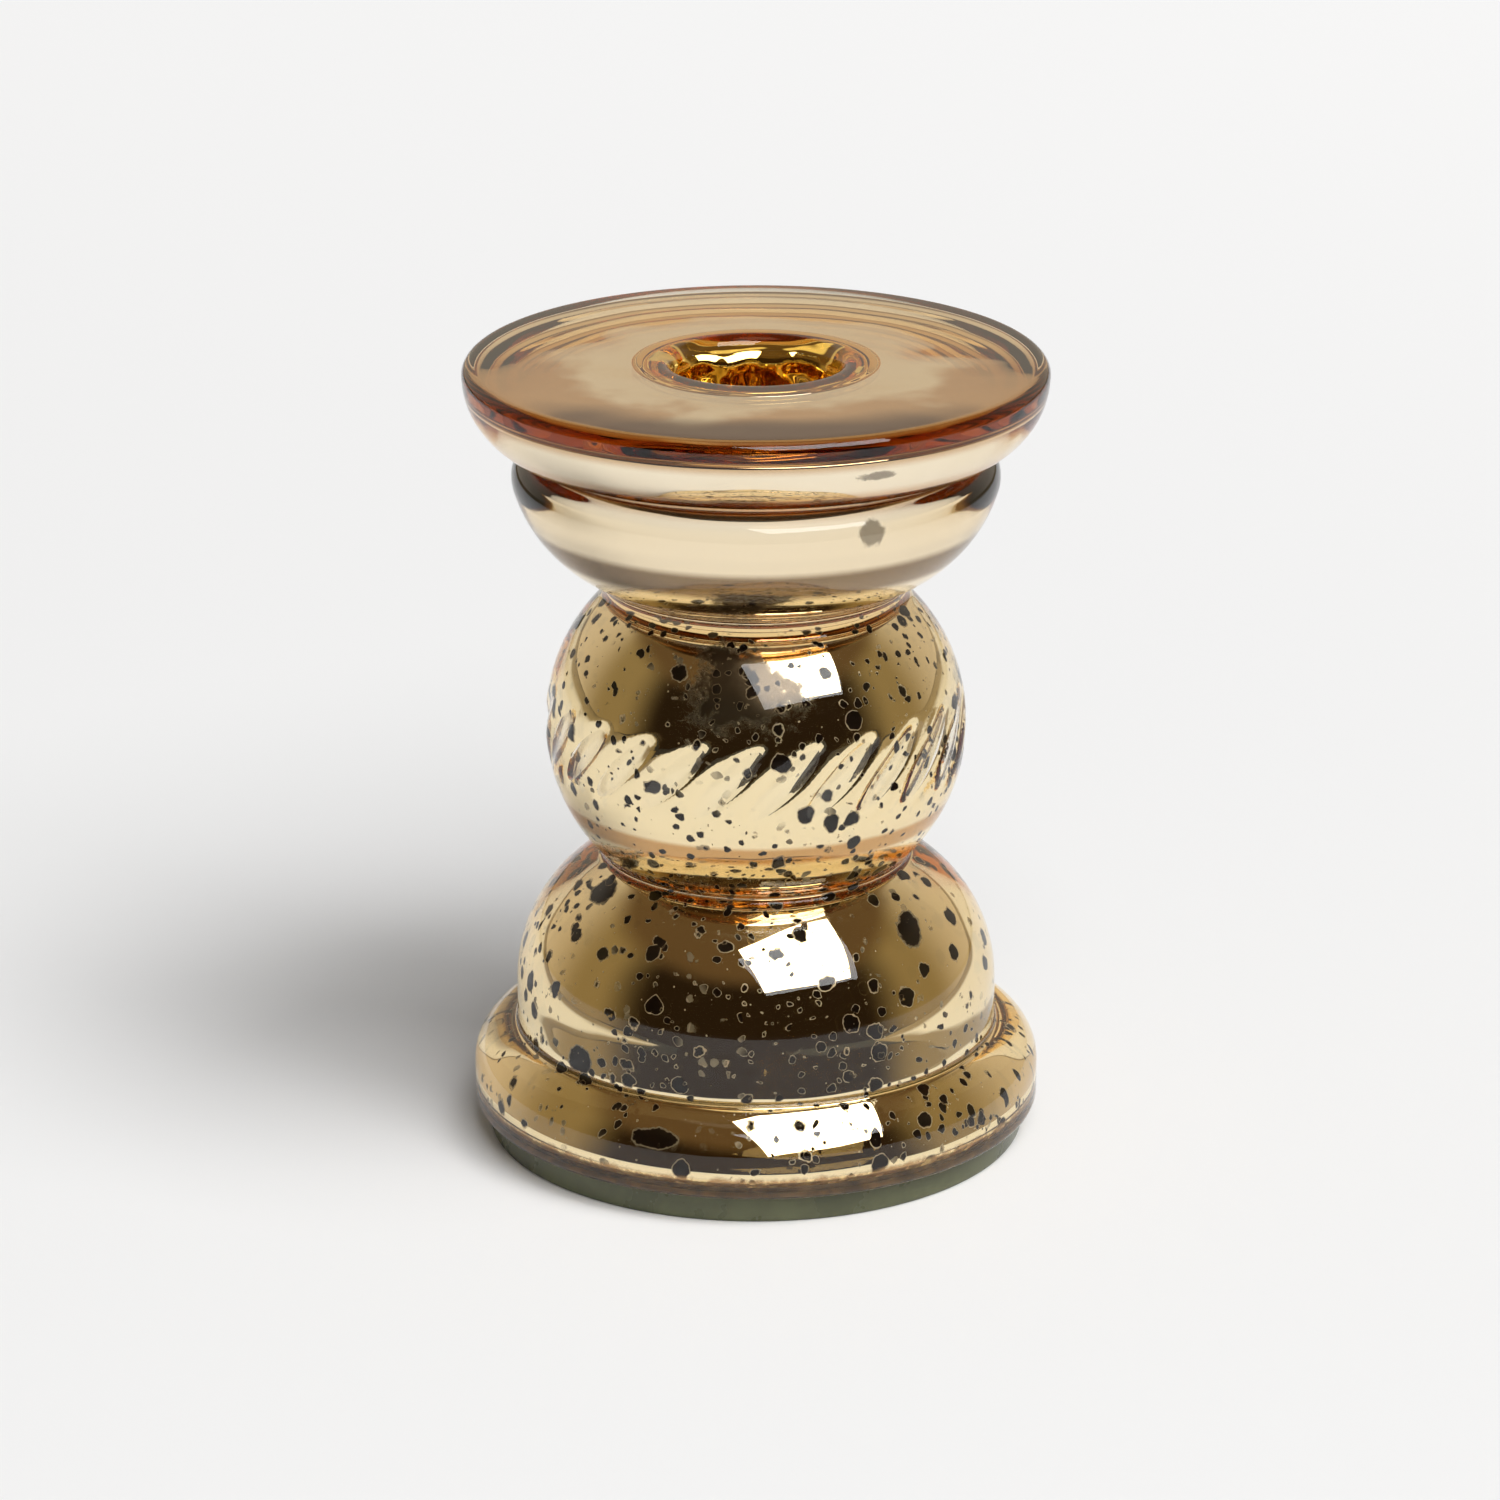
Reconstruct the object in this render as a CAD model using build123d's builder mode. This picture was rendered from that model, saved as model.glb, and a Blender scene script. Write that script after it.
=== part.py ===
"""Spiral candle holder: a blown glass body, silvered inside and closed by a glued glass disc.

Frame: millimetres, +Z up, origin at the centre of the resting face.
"""

import os
from math import cos, degrees, radians, sin

from build123d import *

# Base disc and its glue line
DISC_SETBACK = 2.2
DISC_THICKNESS = 4.0
DISC_ARRIS = 0.5
GLUE_THICKNESS = 0.25
GLUE_INSET = 0.2

# Foot and dome, outside
FOOT_RADIUS = 42.2
FOOT_SIDE = 5.5
FOOT_ROUND_HEIGHT = 6.4
HEEL_ROUND = 1.0
FOOT_CREASE_ROUND = 0.9
DOME_RADIUS = 35.7
DOME_WALL_HEIGHT = 6.6
DOME_ROUND_HEIGHT = 20.3

# Ball between its two necks
LOWER_NECK_RADIUS = 22.1
UPPER_NECK_RADIUS = 19.7
LOWER_NECK_ROUND = 1.0
UPPER_NECK_ROUND = 2.4
BALL_RADIUS = 31.0
BALL_LOWER_HEIGHT = 20.0
BALL_UPPER_HEIGHT = 21.8

# Bowl and rim
BOWL_RADIUS = 36.0
BOWL_HEIGHT = 17.75
BOWL_FULLNESS = 3.8
BOWL_LIP_ROUND = 3.0
FOLD_DEPTH = 3.2
FOLD_RISE = 2.6
FOLD_ROUND = 0.8
RIM_RADIUS = 42.5
RIM_FLARE_HEIGHT = 11.0
RIM_FULLNESS = 2.77
RIM_EDGE_ROUND = 1.8

# Candle well, for a taper of about 22 mm
WELL_RADIUS = 12.0
WELL_DEPTH = 23.0
WELL_LIP_ROUND = 2.6
WELL_CORNER_ROUND = 3.0

# Hollow inside the glass, set in from the outside at each turn of its outline
GROUND_EDGE_WIDTH = 5.0
GROUND_BEVEL = 2.45
FOOT_WALL = 2.2
CREASE_WALL = 0.9
CREASE_DROP = 1.15
DOME_WALL = 2.6
DOME_SPRING_LIFT = 1.15
LOWER_NECK_WALL = 2.9
LOWER_NECK_DROP = 0.35
BALL_WALL = 2.1
BALL_DROP = 1.25
UPPER_NECK_WALL = 4.6
UPPER_NECK_LIFT = 0.95
HOLLOW_FULLNESS = 4.2
LIP_WALL = 2.9
LIP_LIFT = 0.8
FOLD_WALL = 2.4
FOLD_LIFT = 0.8
RIM_WALL = 1.9
RIM_DROP = 3.7
FLARE_FULLNESS = 2.0
PLATE_THICKNESS = 2.4
PLATE_FLAT_RADIUS = 25.0
PLATE_FULLNESS = 0.25
WELL_WALL = 2.2
WELL_FLOOR = 3.0

# Rounding of the hollow's corners
HOLLOW_CREASE_ROUND = 1.4
HOLLOW_LOWER_ROUND = 1.5
HOLLOW_UPPER_ROUND = 2.0
HOLLOW_LIP_ROUND = 4.0
HOLLOW_FOLD_ROUND = 0.5
HOLLOW_RIM_ROUND = 0.6
TUBE_ROUND = 2.2

# Silvering with its lacquer, drawn thick enough to handle
LINING_THICKNESS = 0.3
LINING_STOP = 1.2

# Slanting flutes round the ball
FLUTE_COUNT = 22
FLUTE_SLANT = 45.0
FLUTE_DEPTH = 0.8
FLUTE_ROUND = 4.5
FLUTE_PATH_RADIUS = 80.0
FLUTE_LENGTH = 28.0

# Heights of the stack, from the table up
seat = DISC_THICKNESS + GLUE_THICKNESS
side_top = seat + FOOT_SIDE
foot_top = side_top + FOOT_ROUND_HEIGHT
dome_spring = foot_top + DOME_WALL_HEIGHT
lower_neck = dome_spring + DOME_ROUND_HEIGHT
ball_middle = lower_neck + BALL_LOWER_HEIGHT
upper_neck = ball_middle + BALL_UPPER_HEIGHT
bowl_lip = upper_neck + BOWL_HEIGHT
fold = bowl_lip + FOLD_RISE
rim_middle = fold + RIM_FLARE_HEIGHT
top = rim_middle + RIM_EDGE_ROUND
well_floor = top - WELL_DEPTH
plate_underside = top - PLATE_THICKNESS

# Fold under the rim, drawn in from the bowl's lip
fold_radius = BOWL_RADIUS - FOLD_DEPTH

# Ground edge of the foot: its inside, and the disc set back from its outside
ground_inside = FOOT_RADIUS - GROUND_EDGE_WIDTH
disc_radius = FOOT_RADIUS - DISC_SETBACK


def round_corner(section, corner, size):
    """Round the corner of a half outline that lies at (radius, height)."""
    fillet(section.vertices().sort_by_distance(corner)[0], radius=size)


def outer_section():
    """Half outline of the glass, from the ground edge up to the rim and down the well."""
    with BuildSketch(Plane.XZ) as section:
        with BuildLine():
            Line((0, seat), (FOOT_RADIUS, seat))
            Line((FOOT_RADIUS, seat), (FOOT_RADIUS, side_top))
            TangentArc((FOOT_RADIUS, side_top), (DOME_RADIUS, foot_top), tangent=(0, 1))
            Line((DOME_RADIUS, foot_top), (DOME_RADIUS, dome_spring))
            TangentArc((DOME_RADIUS, dome_spring), (LOWER_NECK_RADIUS, lower_neck), tangent=(0, 1))
            ThreePointArc(
                (LOWER_NECK_RADIUS, lower_neck),
                (BALL_RADIUS, ball_middle),
                (UPPER_NECK_RADIUS, upper_neck),
            )
            SagittaArc((UPPER_NECK_RADIUS, upper_neck), (BOWL_RADIUS, bowl_lip), -BOWL_FULLNESS)
            Line((BOWL_RADIUS, bowl_lip), (fold_radius, fold))
            SagittaArc((fold_radius, fold), (RIM_RADIUS, rim_middle), -RIM_FULLNESS)
            CenterArc((RIM_RADIUS - RIM_EDGE_ROUND, rim_middle), RIM_EDGE_ROUND, 0, 90)
            Line((RIM_RADIUS - RIM_EDGE_ROUND, top), (WELL_RADIUS, top))
            Line((WELL_RADIUS, top), (WELL_RADIUS, well_floor))
            Line((WELL_RADIUS, well_floor), (0, well_floor))
            Line((0, well_floor), (0, seat))
        make_face()
        round_corner(section, (FOOT_RADIUS, seat), HEEL_ROUND)
        round_corner(section, (DOME_RADIUS, foot_top), FOOT_CREASE_ROUND)
        round_corner(section, (LOWER_NECK_RADIUS, lower_neck), LOWER_NECK_ROUND)
        round_corner(section, (UPPER_NECK_RADIUS, upper_neck), UPPER_NECK_ROUND)
        round_corner(section, (BOWL_RADIUS, bowl_lip), BOWL_LIP_ROUND)
        round_corner(section, (fold_radius, fold), FOLD_ROUND)
        round_corner(section, (WELL_RADIUS, top), WELL_LIP_ROUND)
        round_corner(section, (WELL_RADIUS, well_floor), WELL_CORNER_ROUND)
    return section.sketch


def hollow_section():
    """Half outline of the hollow inside the glass, with its own softer corners."""
    foot = (FOOT_RADIUS - FOOT_WALL, seat + GROUND_BEVEL)
    crease = (DOME_RADIUS - CREASE_WALL, foot_top - CREASE_DROP)
    spring = (DOME_RADIUS - DOME_WALL, dome_spring + DOME_SPRING_LIFT)
    low = (LOWER_NECK_RADIUS - LOWER_NECK_WALL, lower_neck - LOWER_NECK_DROP)
    middle = (BALL_RADIUS - BALL_WALL, ball_middle - BALL_DROP)
    high = (UPPER_NECK_RADIUS - UPPER_NECK_WALL, upper_neck + UPPER_NECK_LIFT)
    lip = (BOWL_RADIUS - LIP_WALL, bowl_lip + LIP_LIFT)
    fold_in = (fold_radius - FOLD_WALL, fold + FOLD_LIFT)
    rim = (RIM_RADIUS - RIM_WALL, top - RIM_DROP)
    flat = (PLATE_FLAT_RADIUS, plate_underside)
    tube_top = (WELL_RADIUS + WELL_WALL, plate_underside)
    tube_end = (WELL_RADIUS + WELL_WALL, well_floor - WELL_FLOOR)
    with BuildSketch(Plane.XZ) as section:
        with BuildLine():
            Line((0, seat), (ground_inside, seat))
            Line((ground_inside, seat), foot)
            TangentArc(foot, crease, tangent=(0, 1))
            Line(crease, spring)
            TangentArc(spring, low, tangent=(spring[0] - crease[0], spring[1] - crease[1]))
            ThreePointArc(low, middle, high)
            SagittaArc(high, lip, -HOLLOW_FULLNESS)
            Line(lip, fold_in)
            SagittaArc(fold_in, rim, -FLARE_FULLNESS)
            SagittaArc(rim, flat, -PLATE_FULLNESS)
            Line(flat, tube_top)
            Line(tube_top, tube_end)
            Line(tube_end, (0, tube_end[1]))
            Line((0, tube_end[1]), (0, seat))
        make_face()
        round_corner(section, crease, HOLLOW_CREASE_ROUND)
        round_corner(section, low, HOLLOW_LOWER_ROUND)
        round_corner(section, high, HOLLOW_UPPER_ROUND)
        round_corner(section, lip, HOLLOW_LIP_ROUND)
        round_corner(section, fold_in, HOLLOW_FOLD_ROUND)
        round_corner(section, rim, HOLLOW_RIM_ROUND)
        round_corner(section, tube_top, TUBE_ROUND)
        round_corner(section, tube_end, TUBE_ROUND)
    return section.sketch


# One slanting cutter, along an arc that passes FLUTE_DEPTH into the ball at its middle
flute_reach = BALL_RADIUS - FLUTE_DEPTH + FLUTE_ROUND
flute_sweep = degrees(FLUTE_LENGTH / FLUTE_PATH_RADIUS)
flute_across = (0, -sin(radians(FLUTE_SLANT)), cos(radians(FLUTE_SLANT)))
flute_plane = Plane(origin=(0, 0, ball_middle), x_dir=(1, 0, 0), z_dir=flute_across)
with BuildPart() as flute_cutter:
    with BuildLine(flute_plane) as flute_path:
        CenterArc((flute_reach - FLUTE_PATH_RADIUS, 0), FLUTE_PATH_RADIUS, -flute_sweep / 2, flute_sweep)
    with BuildSketch(flute_path.line ^ 0):
        Circle(FLUTE_ROUND)
    sweep()

# Glass body: solid outline, less the hollow, less the flutes
with BuildPart() as glass_body:
    add(outer_section())
    revolve(axis=Axis.Z)
    add(hollow_section())
    revolve(axis=Axis.Z, mode=Mode.SUBTRACT)
    with PolarLocations(0, FLUTE_COUNT):
        add(flute_cutter.part, mode=Mode.SUBTRACT)
glass_body.part.label = "glass_body"

# Mirror lining: a thin coat on the inside of the glass, stopping short of the ground edge
with BuildPart() as mirror_lining:
    add(hollow_section())
    revolve(axis=Axis.Z)
    offset(amount=-LINING_THICKNESS, openings=mirror_lining.faces().sort_by(Axis.Z)[0], kind=Kind.INTERSECTION)
    split(bisect_by=Plane.XY.offset(seat + LINING_STOP), keep=Keep.TOP)
mirror_lining.part.label = "mirror_lining"

# Glue ring between the ground edge and the disc
with BuildPart() as glue_ring:
    with BuildSketch(Plane.XY.offset(DISC_THICKNESS)):
        Circle(disc_radius - DISC_ARRIS - GLUE_INSET)
        Circle(ground_inside, mode=Mode.SUBTRACT)
    extrude(amount=GLUE_THICKNESS)
glue_ring.part.label = "glue_ring"

# Base disc with its arrises taken off
with BuildPart() as base_disc:
    with BuildSketch():
        Circle(disc_radius)
    extrude(amount=DISC_THICKNESS)
    chamfer(base_disc.edges(), length=DISC_ARRIS)
base_disc.part.label = "base_disc"

os.makedirs("parts", exist_ok=True)
for piece in (glass_body, mirror_lining, glue_ring, base_disc):
    export_step(piece.part, f"parts/{piece.part.label}.step")
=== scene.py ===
"""Spiral candle holder in silvered glass: body, mirror lining, glue line and base disc, on its stage."""

from math import atan2, cos, hypot, pi, radians, sin

import bpy
import numpy as np
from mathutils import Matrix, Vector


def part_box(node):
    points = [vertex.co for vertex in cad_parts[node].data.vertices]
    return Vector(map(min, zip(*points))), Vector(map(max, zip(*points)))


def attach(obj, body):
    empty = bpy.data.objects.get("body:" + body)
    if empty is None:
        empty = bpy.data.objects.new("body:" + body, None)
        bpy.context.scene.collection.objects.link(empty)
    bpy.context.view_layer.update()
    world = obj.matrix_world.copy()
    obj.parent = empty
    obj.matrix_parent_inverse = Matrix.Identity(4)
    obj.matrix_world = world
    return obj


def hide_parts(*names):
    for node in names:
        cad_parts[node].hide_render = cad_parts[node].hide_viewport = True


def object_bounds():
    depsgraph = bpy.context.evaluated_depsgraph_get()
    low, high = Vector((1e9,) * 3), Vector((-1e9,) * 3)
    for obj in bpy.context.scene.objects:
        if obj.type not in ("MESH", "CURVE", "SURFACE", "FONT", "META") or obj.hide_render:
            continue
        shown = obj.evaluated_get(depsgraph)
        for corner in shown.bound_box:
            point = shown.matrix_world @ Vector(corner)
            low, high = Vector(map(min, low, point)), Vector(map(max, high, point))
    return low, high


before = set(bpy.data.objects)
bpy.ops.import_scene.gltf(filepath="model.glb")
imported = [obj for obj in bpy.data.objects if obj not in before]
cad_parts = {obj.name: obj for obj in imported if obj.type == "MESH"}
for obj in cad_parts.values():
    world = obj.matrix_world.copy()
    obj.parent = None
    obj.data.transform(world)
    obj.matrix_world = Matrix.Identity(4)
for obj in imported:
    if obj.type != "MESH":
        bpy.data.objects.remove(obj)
cad_low, cad_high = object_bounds()

bl_info = {
    "name": "Silvered glass candle holder",
    "version": (1, 0, 0),
    "blender": (4, 5, 0),
    "location": "View3D > Sidebar > Candle holder",
    "description": "Turns a blown, silvered and fluted glass candle holder and sets it on a pale stage",
    "category": "Object",
}

MM = 0.001
TOP = cad_high.z
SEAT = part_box("glass_body")[0].z
DISC_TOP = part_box("base_disc")[1].z
RIM_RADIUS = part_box("glass_body")[1].x
DISC_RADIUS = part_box("base_disc")[1].x


def length(name, description, default):
    """A length in metres that a user may change."""
    return bpy.props.FloatProperty(
        name=name, description=description, default=default, min=0.0, unit="LENGTH", precision=5
    )


def colour(name, description, default):
    """A linear colour that a user may change."""
    return bpy.props.FloatVectorProperty(
        name=name, description=description, default=default, size=3, min=0.0, max=1.0, subtype="COLOR"
    )


class HolderSizes(bpy.types.PropertyGroup):
    """Sizes of the turned outlines, the flutes and the disc."""

    foot_radius: length("Foot radius", "Outside of the foot", 42.2 * MM)
    foot_side: length("Foot side", "Straight height of the foot's side", 5.5 * MM)
    foot_round: length("Foot round", "Height of the foot's rounded top", 6.4 * MM)
    dome_radius: length("Dome radius", "Outside of the dome's wall", 35.7 * MM)
    dome_wall: length("Dome wall", "Straight height of the dome's wall", 6.6 * MM)
    dome_rise: length("Dome rise", "Height of the dome above its wall", 20.3 * MM)
    lower_neck: length("Lower neck", "Radius of the neck below the ball", 22.1 * MM)
    upper_neck: length("Upper neck", "Radius of the neck above the ball", 19.7 * MM)
    ball_radius: length("Ball radius", "Largest radius of the ball", 31.0 * MM)
    ball_lower: length("Ball lower half", "Height from the lower neck to the ball's middle", 20.0 * MM)
    ball_upper: length("Ball upper half", "Height from the ball's middle to the upper neck", 21.8 * MM)
    bowl_radius: length("Bowl radius", "Radius at the bowl's lip", 36.0 * MM)
    bowl_rise: length("Bowl rise", "Height of the bowl", 17.75 * MM)
    bowl_fullness: length("Bowl fullness", "How far the bowl swells from its chord", 3.8 * MM)
    fold_radius: length("Fold radius", "Radius of the fold under the rim", 32.8 * MM)
    fold_rise: length("Fold rise", "Height from the bowl's lip to the fold", 2.6 * MM)
    rim_flare: length("Rim flare", "Height from the fold to the rim's widest ring", 11.0 * MM)
    rim_fullness: length("Rim fullness", "How far the rim's underside swells", 2.77 * MM)
    rim_edge: length("Rim edge", "Rounding of the rim's edge", 1.8 * MM)
    well_radius: length("Well radius", "Bore of the candle well", 12.0 * MM)
    well_depth: length("Well depth", "Depth of the candle well", 23.0 * MM)
    well_wall: length("Well wall", "Glass round the well", 2.2 * MM)
    well_floor: length("Well floor", "Glass under the well", 3.0 * MM)
    plate: length("Plate", "Glass of the top plate", 2.4 * MM)
    plate_flat: length("Plate flat", "Radius where the plate's underside starts to fall", 25.0 * MM)
    ground_edge: length("Ground edge", "Width of the edge that is glued to the disc", 5.0 * MM)
    ground_bevel: length("Ground bevel", "Height of the slant inside the ground edge", 2.45 * MM)
    foot_wall: length("Foot wall", "Glass at the foot's side", 2.2 * MM)
    crease_wall: length("Crease wall", "Glass at the crease above the foot", 1.12 * MM)
    crease_drop: length("Crease drop", "How far the inner crease lies below the outer", 1.15 * MM)
    dome_glass: length("Dome glass", "Glass where the dome starts to curve", 2.5 * MM)
    spring_lift: length("Dome lift", "How far the inner curve starts above the outer", 1.15 * MM)
    low_wall: length("Lower neck wall", "Glass at the neck below the ball", 2.9 * MM)
    low_drop: length("Lower neck drop", "How far the inner neck lies below the outer", 0.35 * MM)
    ball_wall: length("Ball wall", "Glass at the ball's middle", 2.1 * MM)
    ball_drop: length("Ball drop", "How far the inner ball lies below the outer", 1.25 * MM)
    high_wall: length("Upper neck wall", "Glass at the neck above the ball", 4.6 * MM)
    high_lift: length("Upper neck lift", "How far the inner neck lies above the outer", 0.95 * MM)
    bowl_inside: length("Inner bowl", "How far the inner bowl swells from its chord", 4.2 * MM)
    lip_wall: length("Lip wall", "Glass at the bowl's lip", 2.9 * MM)
    lip_lift: length("Lip lift", "How far the inner lip lies above the outer", 0.8 * MM)
    fold_wall: length("Fold wall", "Glass at the fold", 2.4 * MM)
    fold_lift: length("Fold lift", "How far the inner fold lies above the outer", 0.8 * MM)
    rim_wall: length("Rim wall", "Glass outside the inner rim", 1.9 * MM)
    rim_drop: length("Rim drop", "Glass above the inner rim", 3.7 * MM)
    flare_inside: length("Inner flare", "How far the inner flare swells from its chord", 2.0 * MM)
    flute_depth: length("Flute depth", "Depth of the slanting flutes", 0.8 * MM)
    flute_round: length("Flute round", "Radius of a flute's cross section", 4.5 * MM)
    flute_path: length("Flute path", "Radius of the arc that a flute follows", 80.0 * MM)
    flutes: bpy.props.IntProperty(name="Flutes", description="Flutes round the ball", default=22, min=3)
    flute_slant: bpy.props.FloatProperty(
        name="Flute slant", description="Slant of the flutes", default=radians(45.0), subtype="ANGLE"
    )
    lining: length("Lining", "Thickness of the silvering with its lacquer", 0.3 * MM)
    lining_stop: length("Lining stop", "Bare glass below the lining", 1.2 * MM)


class HolderFinish(bpy.types.PropertyGroup):
    """Colours of the glass, the silvering, the glue and the stage."""

    gold: colour("Gold", "Silvering of the foot, the dome and the ball", (0.97, 0.85, 0.58))
    # Painted: cream is a paler copy of the gold for the bowl and the plate, standing in for their brighter
    # reflections.
    cream: colour("Cream", "Paler silvering of the bowl and the plate", (0.97, 0.9, 0.76))
    spot: colour("Spots", "Bare spots in the silvering", (0.012, 0.006, 0.003))
    halo: colour("Halo", "Dusty edge round a bare spot", (0.42, 0.33, 0.2))
    tarnish: colour("Tarnish", "Worn silvering", (0.05, 0.028, 0.012))
    # Painted reflection: the deeper gold round the well stands in for light bounced between its mirror walls.
    well: colour("Well", "Deep gold silvering round the candle well", (0.98, 0.76, 0.26))
    # Painted reflection: this brown is laid into the silvering for reflected bands on the lower ball and at
    # the fold, and on the plate's front.
    painted_reflection: colour("Stain", "Brown stain in the silvering of the plate and the fold", (0.58, 0.31, 0.085))
    # Painted reflection: olive is the dark band that the bowl reflects, laid into the silvering's colour.
    olive_reflection: colour("Olive", "Dark ring in the silvering under the bowl", (0.19, 0.11, 0.035))
    backing: colour("Backing", "Brown lacquer along the lower edge", (0.6, 0.38, 0.18))
    amber: colour("Amber", "Tint that deepens with the thickness of the glass", (0.91, 0.68, 0.22))
    green: colour("Green glass", "Edge of the base disc", (0.075, 0.08, 0.038))
    glue: colour("Glue", "Glue between foot and disc", (0.62, 0.44, 0.24))
    floor: colour("Floor", "Pale paper under the holder", (0.87, 0.87, 0.87))


COLUMNS_PER_FLUTE = 12

# Rounding of the outer corners, from the foot up to the well.
FOOT_EDGE_ROUND = 1.0 * MM
CREASE_ROUND = 1.1 * MM
LOWER_NECK_ROUND = 1.0 * MM
UPPER_NECK_ROUND = 2.4 * MM
LIP_ROUND = 2.9 * MM
FOLD_ROUND = 0.9 * MM
WELL_MOUTH_ROUND = 2.6 * MM
WELL_FLOOR_ROUND = 3.0 * MM

# Rounding of the hollow's corners, in the same order.
INNER_FOOT_ROUND = 0.6 * MM
INNER_CREASE_ROUND = 0.7 * MM
INNER_LOWER_ROUND = 1.5 * MM
INNER_UPPER_ROUND = 2.0 * MM
INNER_LIP_ROUND = 2.0 * MM
INNER_FOLD_ROUND = 1.1 * MM
INNER_RIM_ROUND = 0.7 * MM
PLATE_BEND_ROUND = 3.0 * MM
TUBE_ROUND = 2.2 * MM
PLATE_FULLNESS = 0.25 * MM

# The silvering lies this deep in the glass, so that no air shows between them.
LINING_SUNK = 0.1 * MM
LINING_GRAIN = 16 * MM
LINING_RIPPLE = 0.2 * MM
GLASS_FLUTE_SOFTNESS = 0.1 * MM
LINING_FLUTE_SOFTNESS = 0.08 * MM

# Rounding of the disc's edges, and how far the glue stays inside them.
DISC_EDGE_ROUND = 0.5 * MM
GLUE_INSET = 0.7 * MM


def run_lengths(points):
    """Distance of every point along its run."""
    return np.append(0.0, np.cumsum(np.linalg.norm(np.diff(points, axis=0), axis=1)))


def finely(points, reach):
    """Closely spaced points along the first part of a run, with their distances."""
    run = run_lengths(points)
    fine = np.linspace(0.0, min(run[-1], reach), 1500)
    return np.stack([np.interp(fine, run, points[:, 0]), np.interp(fine, run, points[:, 1])], axis=1), fine


class Outline:
    """Half outline drawn as (radius, height) points, by lines and arcs."""

    def __init__(self, start):
        self.points = [start]

    def line(self, end, steps=1):
        """A straight run."""
        r0, z0 = self.points[-1]
        for i in range(1, steps + 1):
            t = i / steps
            self.points.append((r0 + (end[0] - r0) * t, z0 + (end[1] - z0) * t))
        return self

    def arc(self, end, leaving, steps):
        """An arc to end that leaves along the given direction."""
        r0, z0 = self.points[-1]
        chord = hypot(end[0] - r0, end[1] - z0)
        heading = atan2(leaving[1], leaving[0])
        turn = atan2(end[1] - z0, end[0] - r0) - heading
        turn = (turn + pi) % (2 * pi) - pi
        if abs(turn) < 1e-6:
            return self.line(end, steps)
        radius = chord / (2 * sin(turn))
        for i in range(1, steps + 1):
            a = 2 * turn * i / steps
            ahead = radius * sin(a)
            aside = radius * (1 - cos(a))
            self.points.append((
                r0 + ahead * cos(heading) - aside * sin(heading),
                z0 + ahead * sin(heading) + aside * cos(heading),
            ))
        return self

    def bulge(self, end, rise, steps):
        """An arc to end that swells by rise to the right of its chord."""
        r0, z0 = self.points[-1]
        heading = atan2(end[1] - z0, end[0] - r0)
        half = 2 * atan2(2 * rise, hypot(end[0] - r0, end[1] - z0))
        return self.arc(end, (cos(heading - half), sin(heading - half)), steps)

    def round(self, corner, size, steps):
        """The corner nearest to a point is cut back by size and rounded."""
        pts = self.points
        at = min(range(len(pts)), key=lambda i: hypot(pts[i][0] - corner[0], pts[i][1] - corner[1]))
        peak = pts[at]
        before, kept_before = self.cut_back(pts[: at + 1][::-1], size)
        after, kept_after = self.cut_back(pts[at:], size)
        curve = []
        for i in range(1, steps):
            t = i / steps
            a, b, c = (1 - t) ** 2, 2 * t * (1 - t), t * t
            curve.append((
                a * before[0] + b * peak[0] + c * after[0],
                a * before[1] + b * peak[1] + c * after[1],
            ))
        self.points = kept_before[::-1] + [before] + curve + [after] + kept_after
        return self

    def fillet(self, corner, radius, steps):
        """The corner nearest to a point is rounded by a circle that touches both of its sides."""
        pts = np.array(self.points)
        at = int(np.argmin(np.hypot(pts[:, 0] - corner[0], pts[:, 1] - corner[1])))
        before, before_run = finely(pts[: at + 1][::-1], 9 * radius)
        after, after_run = finely(pts[at:], 9 * radius)
        here, there = pts[at] - pts[at - 1], pts[at + 1] - pts[at]
        side = 1.0 if here[0] * there[1] - here[1] * there[0] > 0 else -1.0
        ahead = -np.gradient(before, axis=0)
        ahead /= np.linalg.norm(ahead, axis=1)[:, None]
        centres = before + side * radius * np.stack([-ahead[:, 1], ahead[:, 0]], axis=1)
        gaps = np.linalg.norm(centres[:, None] - after[None], axis=2)
        first = int(np.argmax(gaps.min(axis=1) >= radius))
        second = int(np.argmin(gaps[first]))
        centre = centres[first]
        start = atan2(before[first][1] - centre[1], before[first][0] - centre[0])
        sweep = atan2(after[second][1] - centre[1], after[second][0] - centre[0]) - start
        sweep = (sweep + pi) % (2 * pi) - pi
        turns = [start + sweep * i / steps for i in range(steps + 1)]
        curve = [(centre[0] + radius * cos(a), centre[1] + radius * sin(a)) for a in turns]
        left = run_lengths(pts[: at + 1][::-1])
        right = run_lengths(pts[at:])
        left_end = before_run[first] + radius * 0.02
        right_end = after_run[second] + radius * 0.02
        lead = [tuple(q) for q, far in zip(pts[: at + 1][::-1], left) if far > left_end]
        tail = [tuple(q) for q, far in zip(pts[at:], right) if far > right_end]
        self.points = lead[::-1] + curve + tail
        return self

    @staticmethod
    def cut_back(run, size):
        """The point at a distance along a run, and the points of the run beyond it."""
        left = size
        for i in range(len(run) - 1):
            (r0, z0), (r1, z1) = run[i], run[i + 1]
            step = hypot(r1 - r0, z1 - z0)
            if step > left:
                t = left / step
                return (r0 + (r1 - r0) * t, z0 + (z1 - z0) * t), run[i + 1 :]
            left -= step
        return run[-1], []


def offset_points(points, distance):
    """The outline moved sideways, to the left of its run for a positive distance."""
    p = np.array(points)
    along = np.gradient(p, axis=0)
    along /= np.linalg.norm(along, axis=1)[:, None]
    side = np.stack([-along[:, 1], along[:, 0]], axis=1)
    return [tuple(q) for q in p + side * distance]


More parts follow.
